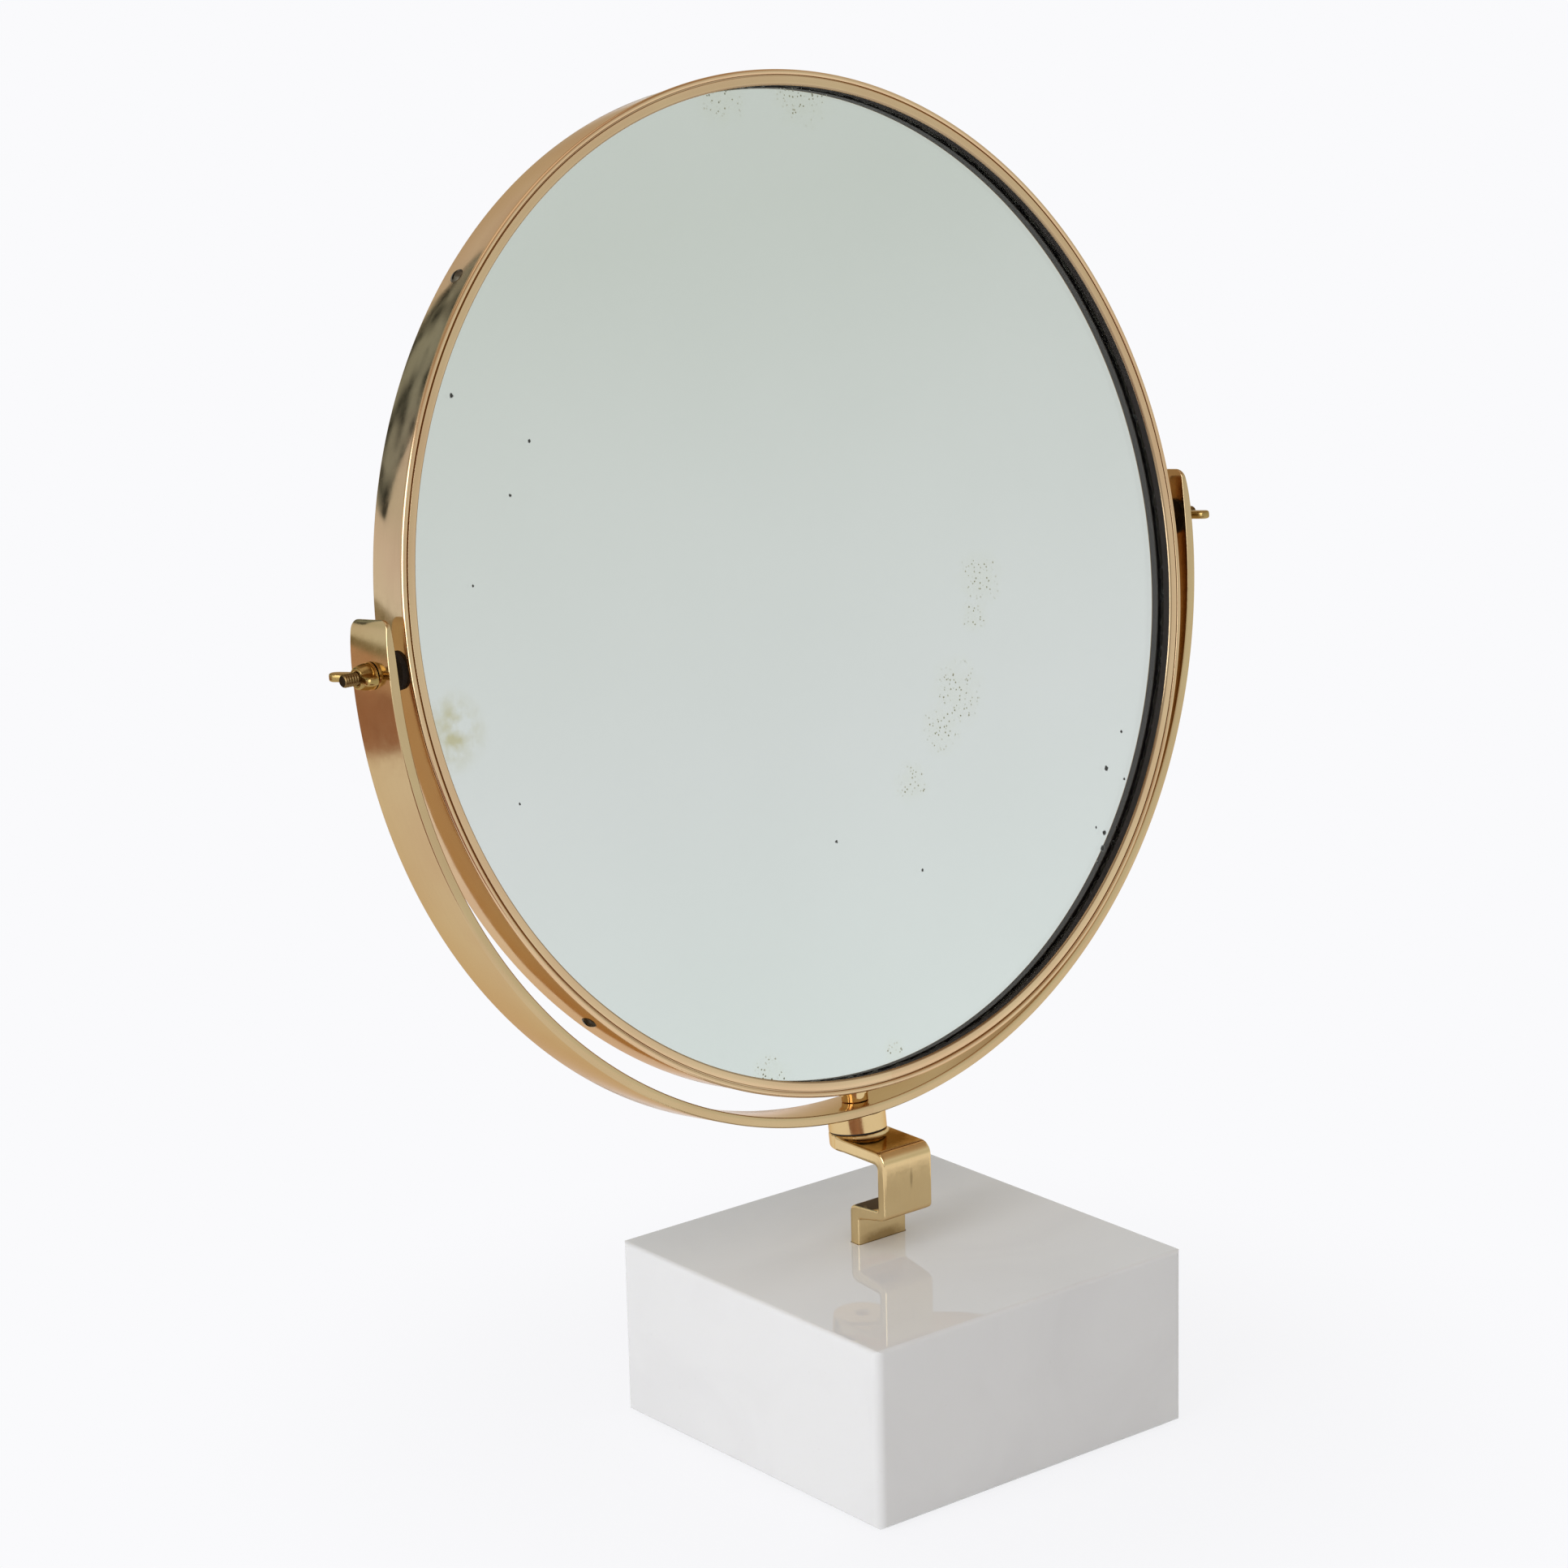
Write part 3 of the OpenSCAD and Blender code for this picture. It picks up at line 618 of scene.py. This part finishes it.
def stud_mesh(name, side):
    """A pivot stud: round head inside the band, plain shank, cut thread and chamfered tip."""
    head_in, head_out, head_r, head_edge, shank_r = 186.8, 189.0, 3.7, 0.4, 2.4
    thread_from, thread_to, thread_r, pitch, deep = 200.0, 213.2, 2.38, 1.058, 0.42
    chamfer_from, chamfer_r, tip, tip_r = thread_to + 0.15, 2.0, thread_to + 0.5, 1.6
    around, per_pitch, crest = 36, 10, 2.6
    shank = [(head_in, 0.0), (head_in, head_r - head_edge), (head_in + head_edge, head_r),
             (head_out, head_r), (head_out, shank_r), (thread_from, shank_r)]
    rings = [[point] * around for point in shank]
    count = int((thread_to - thread_from) / pitch * per_pitch)
    for i in range(1, count + 1):
        x = thread_from + i * (thread_to - thread_from) / count
        run_in = min(1, i / per_pitch)
        ring = []
        for j in range(around):
            phase = ((x - thread_from) / pitch - j / around) % 1
            cut = min(1, abs(phase - 0.5) * crest)
            ring.append((x, thread_r - deep * run_in * (1 - cut)))
        rings.append(ring)
    rings += [[point] * around for point in ((chamfer_from, chamfer_r), (tip, tip_r), (tip, 0.0))]
    made = bmesh.new()
    layers = []
    angles = [2 * math.pi * j / around for j in range(around)]
    for ring in rings:
        layers.append([made.verts.new((side * x * MM, r * MM * math.cos(a), r * MM * math.sin(a)))
                       for a, (x, r) in zip(angles, ring)])
    bridge(made, layers)
    bmesh.ops.remove_doubles(made, verts=made.verts, dist=1e-6)
    bmesh.ops.recalc_face_normals(made, faces=made.faces)
    return mesh_of(name, made, MIRROR)


def silver_mesh(steps=180):
    """A flat round on the back of the glass."""
    made = bmesh.new()
    angles = [2 * math.pi * i / steps for i in range(steps)]
    made.faces.new([made.verts.new((SILVER_RADIUS * math.sin(a), SILVER_DEPTH, SILVER_RADIUS * math.cos(a)))
                    for a in angles])
    return mesh_of("silvering", made, GLASS)


for part in frame["record"]["subparts"]:
    solid = nodes[part["node"]]
    wear(solid, FINISHES[part["material_slot"]])
    smooth_shaded(solid)

bent_hoop()
turned_ring("beaded_bezel", bezel_outline(), "bezel_ring", "bezel_brass")
turned_ring("spun_band", band_outline(), "frame_band", "frame_brass")
softened("cast_neck", "neck", "stand", FINISHES["cast_brass"],
         voxel=0.28, passes=22, swell=0.12)
for side, name in ((-1, "left"), (1, "right")):
    softened(name + "_cast_wing_nut", name + "_wing_nut", name + "_nut", HANDLED_FINISH,
             voxel=0.2, passes=56, swell=0.3)
    stud_name = name + "_threaded_stud"
    stud = new_piece(stud_name, stud_mesh(stud_name, side), "mirror", THREAD_FINISH)
    smooth_shaded(stud, 50)
    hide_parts(name + "_pivot_stud")
new_piece("silvering", silver_mesh(), "mirror", SILVER_FINISH)


# Studio

def paper():
    """Matt white paper sweep: takes the block's shadow and runs out into the white of the backdrop."""
    shadow_from, white_from, near_share = 0.1, 0.3, 0.88
    material, tree = new_finish("white paper")
    here = add(tree, "NewGeometry", gives="Position")
    # paper's own tooth is under a millimetre; drawn at 11 mm so that it shows
    tooth = add(tree, "TexNoise", gives="Fac", Vector=here, Scale=cells_of(11.1), Detail=4.0)
    colour = add(tree, "Mix", COLOURS, 2, in0=tooth, in6=linear("#f7f7f8"), in7=linear("#fafafb"))
    matt = add(tree, "BsdfDiffuse", gives=0, Color=colour)
    white = add(tree, "Emission", gives=0, Color=linear("#fafafc"), Strength=1.0)
    far = add(tree, "VectorMath", LENGTH, "Value", in0=here)
    fade = add(tree, "MapRange", EASED, 0, Value=far, in1=shadow_from, in2=white_from, in3=near_share,
               in4=1.0)
    ray = add(tree, "LightPath").outputs
    seen = add(tree, "Math", LARGER, 0, in0=ray["Is Camera Ray"], in1=ray["Is Glossy Ray"])
    seen = add(tree, "Math", LARGER, 0, in0=seen, in1=ray["Is Transmission Ray"])
    share = add(tree, "Math", PRODUCT, 0, in0=seen, in1=fade)
    add(tree, "OutputMaterial", in0=add(tree, "MixShader", gives=0, in0=share, in1=matt, in2=white))
    return material


def lay_floor(radius, steps=96):
    made = bmesh.new()
    angles = [2 * math.pi * i / steps for i in range(steps)]
    made.faces.new([made.verts.new((radius * math.cos(a), radius * math.sin(a), 0)) for a in angles])
    floor = bpy.data.objects.new("floor", mesh_of("floor", made))
    bpy.context.scene.collection.objects.link(floor)
    wear(floor, paper())


def set_card(name, corners, pale, dark):
    """A matt card that shows only in reflections, so that polished metal has something to mirror."""
    made = bmesh.new()
    made.faces.new([made.verts.new(corner) for corner in corners])
    card = bpy.data.objects.new(name, mesh_of(name, made))
    bpy.context.scene.collection.objects.link(card)
    card.visible_camera = False
    card.visible_diffuse = False
    card.visible_shadow = False
    card.visible_transmission = False
    material, tree = new_finish(name)
    tone = add(tree, "TexNoise", gives="Fac", Vector=places(tree), Scale=cells_of(250), Detail=4.0)
    tone = add(tree, "ValToRGB", gives=0, in0=tone, stops=((0.42, 0), (0.58, 1)))
    colour = add(tree, "Mix", COLOURS, 2, in0=tone, in6=linear(pale), in7=linear(dark))
    add(tree, "OutputMaterial", in0=add(tree, "Emission", gives=0, Color=colour, Strength=1.0))
    wear(card, material)


def hang_card(name, where, look_at, width, height, pale, dark):
    """An upright card that faces a point."""
    facing = (Vector(look_at) - Vector(where)).to_track_quat("Z", "Y")
    corners = [Vector(where) + facing @ Vector((x * width / 2, y * height / 2, 0))
               for x, y in ((-1, -1), (1, -1), (1, 1), (-1, 1))]
    set_card(name, corners, pale, dark)


def lay_card(name, around, near, far, width, pale, dark):
    """A card on the floor, from near to far off, in the direction so many degrees left of the back."""
    above_floor = 0.006
    a = math.radians(around)
    ahead, beside = Vector((-math.sin(a), math.cos(a), 0)), Vector((math.cos(a), math.sin(a), 0))
    corners = [ahead * off + beside * (aside * width / 2) + Vector((0, 0, above_floor))
               for off, aside in ((near, -1), (near, 1), (far, 1), (far, -1))]
    set_card(name, corners, pale, dark)


def hang_lamp(name, where, look_at, size, watts, hex_code):
    """A square soft box."""
    light = bpy.data.lights.new(name, "AREA")
    light.shape = "RECTANGLE"
    light.size, light.size_y = size, size
    light.energy = watts
    light.color = linear(hex_code)[:3]
    lamp = bpy.data.objects.new(name, light)
    bpy.context.scene.collection.objects.link(lamp)
    lamp.location = where
    lamp.rotation_mode = "QUATERNION"
    lamp.rotation_quaternion = (Vector(look_at) - Vector(where)).to_track_quat("-Z", "Y")


def light_evenly(level):
    """Even light from all round. Metal and glass mirror a white that greys and browns with height."""
    world = bpy.data.worlds.new("even light")
    bpy.context.scene.world = world
    world.use_nodes = True
    tree = world.node_tree
    tree.nodes.clear()
    up = add(tree, "SeparateXYZ", gives=2, in0=add(tree, "TexCoord", gives="Generated"))
    height = add(tree, "MapRange", gives=0, Value=up, in1=-0.3, in2=1.0, in3=0.0, in4=1.0)
    hues = ((0.0, "#f4f6f4"), (0.17, "#ebf2f0"), (0.26, "#e6e8e8"), (0.355, "#d5d9d3"), (0.58, "#dddfdd"),
            (0.8, "#b9a48e"), (1.0, "#8d7660"))
    mirrored = add(tree, "ValToRGB", gives=0, in0=height, stops=[(place, linear(hue)) for place, hue in hues])
    ray = add(tree, "LightPath").outputs
    glint = add(tree, "Math", LARGER, 0, in0=ray["Is Glossy Ray"], in1=ray["Is Transmission Ray"])
    plain = add(tree, "Background", gives=0, Color=linear("#fbfaf8"), Strength=level)
    seen = add(tree, "Background", gives=0, Color=linear("#fafafc"), Strength=1.0)
    shiny = add(tree, "Background", gives=0, Color=mirrored, Strength=1.0)
    first = add(tree, "MixShader", gives=0, in0=glint, in1=plain, in2=shiny)
    second = add(tree, "MixShader", gives=0, in0=ray["Is Camera Ray"], in1=first, in2=seen)
    add(tree, "OutputWorld", in0=second)


light_evenly(0.55)
lay_floor(1.5)
hang_lamp("left soft box", (-1.6, -0.2, 0.75), (0, 0, 0.15), 1.2, 14.5, "#f1f7ff")
hang_lamp("overhead soft box", (-0.2, 0.1, 1.9), (0, 0, 0.2), 1.2, 2.8, "#fff8f2")
hang_card("dark card", (-0.80, 1.9, 1.10), (-0.16, 0.0, 0.4), 1.08, 1.12, "#98a6a6", "#2c3331")
# Cards on the floor to the left of the back, end to end, and one to the left of the front
TO_THE_BACK, TO_THE_FRONT = 38.0, 128.0
lay_card("brown card", TO_THE_BACK, 0.85, 1.42, 1.3, "#b58c7a", "#a57e6c")
lay_card("rosy card", TO_THE_BACK, 1.42, 2.5, 2.0, "#d6b8a4", "#ccaa94")
lay_card("olive card", TO_THE_BACK, 2.5, 4.2, 3.0, "#9f9a81", "#848069")
lay_card("front brown card", TO_THE_FRONT, 0.5, 1.3, 0.95, "#a57e6c", "#8a6454")


# Camera: a long lens to the left of the front, a little above, with the horizon slightly off level

def set_camera():
    away, side, rise = 1.58319, 0.03906, 0.04524
    around, down, roll = (math.radians(a) for a in (-38.77196, 14.96328, -1.37236))
    aim = Vector((0, 0, 0.300))
    back = Vector((math.sin(around) * math.cos(down), -math.cos(around) * math.cos(down), math.sin(down)))
    level = Vector((math.cos(around), math.sin(around), 0))
    upward = back.cross(level)
    right = math.cos(roll) * level + math.sin(roll) * upward
    top = math.cos(roll) * upward - math.sin(roll) * level
    data = bpy.data.cameras.new("camera")
    data.sensor_width = 36
    data.lens = 98.518
    data.clip_start = 0.05
    camera = bpy.data.objects.new("camera", data)
    bpy.context.scene.collection.objects.link(camera)
    camera.matrix_world = Matrix.Translation(aim - side * right - rise * top + away * back) @ Matrix(
        (right, top, back)).transposed().to_4x4()
    bpy.context.scene.camera = camera


set_camera()
bpy.context.scene.view_settings.view_transform = "Standard"
